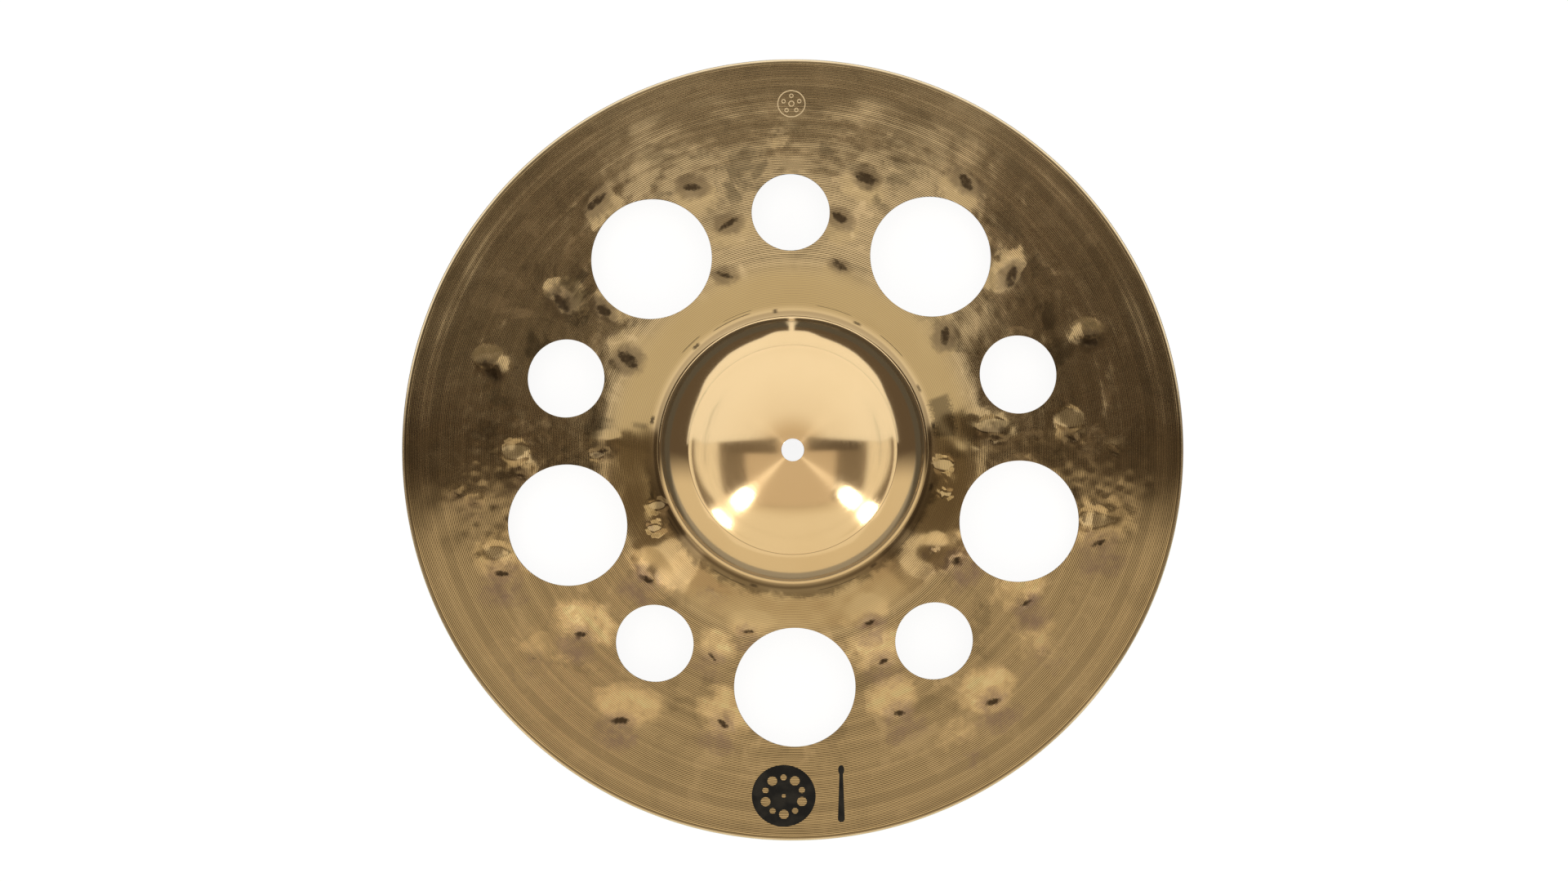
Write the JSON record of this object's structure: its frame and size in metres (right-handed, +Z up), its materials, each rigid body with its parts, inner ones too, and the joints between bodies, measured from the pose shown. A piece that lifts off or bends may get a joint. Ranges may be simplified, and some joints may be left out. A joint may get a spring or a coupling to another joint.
{
  "type": "crash cymbal",
  "caption": "Perforated bronze crash cymbal: two-tier bell with a mounting hole, gently curved bow, and large and small tone holes alternating on one circle.",
  "frame": {"origin": "on the cymbal's axis, in the plane its rim rests on", "axes": "+Z up along the axis, bell up; -Y towards the side that carries the printed mark, +Y through the middle of a small tone hole"},
  "size_m": [0.4572, 0.4572, 0.0534],
  "materials": {
    "bronze": "brilliant polish over fine lathe grooves, with hammer marks",
    "black_ink": "satin screen-printed ink"
  },
  "bodies": {
    "root": {"cymbal_disc": "bronze", "printed_mark": "black_ink"}
  },
  "joints": []
}
